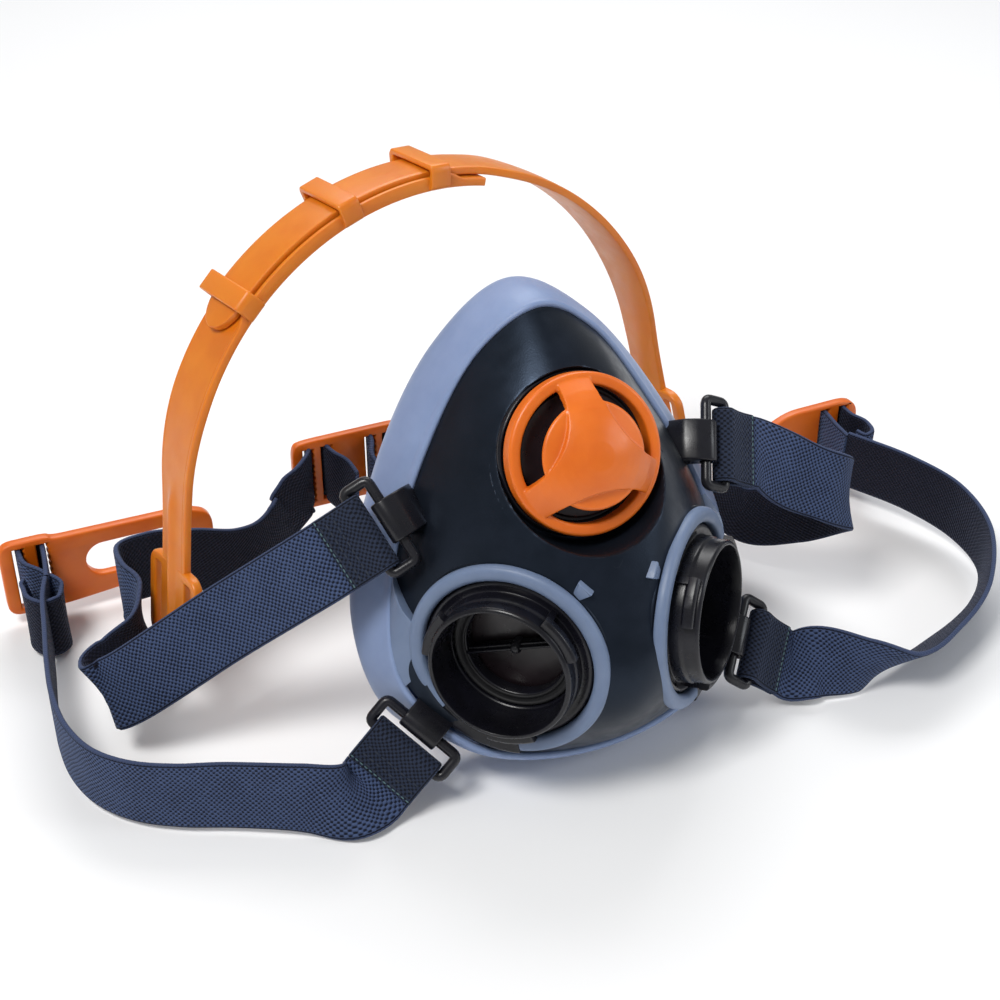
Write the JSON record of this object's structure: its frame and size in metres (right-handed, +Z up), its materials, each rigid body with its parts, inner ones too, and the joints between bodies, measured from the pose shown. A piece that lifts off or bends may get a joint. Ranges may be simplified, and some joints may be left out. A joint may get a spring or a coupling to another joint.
{
  "type": "respirator",
  "caption": "Half-mask respirator with a soft face seal, two angled bayonet inlets, a round exhale valve cover and a strap harness with an adjustable crown band.",
  "frame": {"origin": "middle of the footprint, on the floor: the centre of the bounding box in X and Y, at its lowest Z", "axes": "+Z up; -Y out of the front of the mask, towards the exhale cover; +X to the right when the mask is seen from the front, along the object's longest side"},
  "size_m": [0.2738, 0.1464, 0.1381],
  "materials": {
    "grey_tpe": "satin, soft grey-blue elastomer",
    "shell_black": "satin gloss, moulded",
    "black_plastic": "semi-gloss, moulded",
    "gasket_rubber": "matte",
    "cover_orange": "semi-gloss, moulded",
    "crown_orange": "satin, slightly translucent, flexible",
    "clasp_orange": "satin, moulded",
    "silicone": "smooth, thin, flexible",
    "webbing": "woven elastic webbing",
    "sewn_webbing": "woven elastic webbing, sewn double"
  },
  "bodies": {
    "mask_and_harness": {"front_shell": "shell_black", "face_seal": "grey_tpe", "exhale_valve_seat": "black_plastic", "inlet_collar_left": "grey_tpe", "connector_left": "black_plastic", "connector_lock_ring_left": "black_plastic", "connector_gasket_left": "gasket_rubber", "strap_anchor_upper_left": "black_plastic", "strap_anchor_lower_left": "black_plastic", "inlet_collar_right": "grey_tpe", "connector_right": "black_plastic", "connector_lock_ring_right": "black_plastic", "connector_gasket_right": "gasket_rubber", "strap_anchor_upper_right": "black_plastic", "strap_anchor_lower_right": "black_plastic", "strap_upper_left": "webbing", "strap_upper_right": "webbing", "strap_upper_right_back": "webbing", "strap_lower_left": "webbing", "strap_lower_right": "webbing", "crown_band_left": "crown_orange", "rear_plate": "clasp_orange", "strap_end_rear_left": "webbing", "strap_end_rear_right": "webbing"},
    "exhale_cover": {"exhale_cover": "cover_orange"},
    "exhale_flap": {"exhale_flap": "silicone"},
    "inhale_flap_left": {"inhale_flap_left": "silicone"},
    "inhale_flap_right": {"inhale_flap_right": "silicone"},
    "buckle_upper_left": {"buckle_upper_left": "black_plastic", "sewn_loop_upper_left": "sewn_webbing"},
    "buckle_upper_right": {"buckle_upper_right": "black_plastic", "sewn_loop_upper_right": "sewn_webbing"},
    "buckle_lower_left": {"buckle_lower_left": "black_plastic", "sewn_loop_lower_left": "sewn_webbing"},
    "buckle_lower_right": {"buckle_lower_right": "black_plastic", "sewn_loop_lower_right": "sewn_webbing"},
    "crown_band_right": {"crown_band_right": "crown_orange"},
    "neck_clasp_loop": {"neck_clasp_loop": "clasp_orange", "strap_end_neck_left": "webbing"},
    "neck_clasp_hook": {"neck_clasp_hook": "clasp_orange", "strap_end_neck_right": "webbing"}
  },
  "joints": [
    {"name": "cover_twist", "type": "hinge", "parent": "mask_and_harness", "child": "exhale_cover", "pos_m": [-0.00593, -0.04114, 0.09062], "axis": [0, -0.8854, 0.4648], "range_deg": [0, 30]},
    {"name": "exhale_flap_lift", "type": "slide", "parent": "mask_and_harness", "child": "exhale_flap", "axis": [0, -0.8854, 0.4648], "range_m": [0, 0.0012]},
    {"name": "inhale_flap_left_lift", "type": "slide", "parent": "mask_and_harness", "child": "inhale_flap_left", "axis": [0.6777, 0.724, -0.1284], "range_m": [0, 0.0015]},
    {"name": "inhale_flap_right_lift", "type": "slide", "parent": "mask_and_harness", "child": "inhale_flap_right", "axis": [-0.6777, 0.724, -0.1284], "range_m": [0, 0.0015]},
    {"name": "buckle_upper_left_swing", "type": "hinge", "parent": "mask_and_harness", "child": "buckle_upper_left", "pos_m": [-0.04993, -0.02304, 0.07202], "axis": [-0.3231, 0.6591, 0.6791], "range_deg": [-15, 15]},
    {"name": "buckle_upper_right_swing", "type": "hinge", "parent": "mask_and_harness", "child": "buckle_upper_right", "pos_m": [0.03807, -0.02304, 0.07202], "axis": [0.3231, 0.6591, 0.6791], "range_deg": [-15, 15]},
    {"name": "buckle_lower_left_swing", "type": "hinge", "parent": "mask_and_harness", "child": "buckle_lower_left", "pos_m": [-0.05153, -0.04414, 0.02142], "axis": [-0.5592, 0.6431, 0.5232], "range_deg": [-15, 15]},
    {"name": "buckle_lower_right_swing", "type": "hinge", "parent": "mask_and_harness", "child": "buckle_lower_right", "pos_m": [0.03967, -0.04414, 0.02142], "axis": [0.5592, 0.6431, 0.5232], "range_deg": [-15, 15]},
    {"name": "crown_adjust", "type": "hinge", "parent": "mask_and_harness", "child": "crown_band_right", "pos_m": [-0.02112, 0.02928, 0.05674], "axis": [0.1965, -0.9741, 0.1115], "range_deg": [-5, 8]},
    {"name": "neck_clasp_loop_swing", "type": "hinge", "parent": "mask_and_harness", "child": "neck_clasp_loop", "pos_m": [-0.12793, 0.06686, 0.01612], "axis": [0, 0, 1], "range_deg": [-20, 8]},
    {"name": "neck_clasp_hook_swing", "type": "hinge", "parent": "mask_and_harness", "child": "neck_clasp_hook", "pos_m": [0.12147, 0.03886, 0.01662], "axis": [0, 0, 1], "range_deg": [-12, 20]}
  ]
}
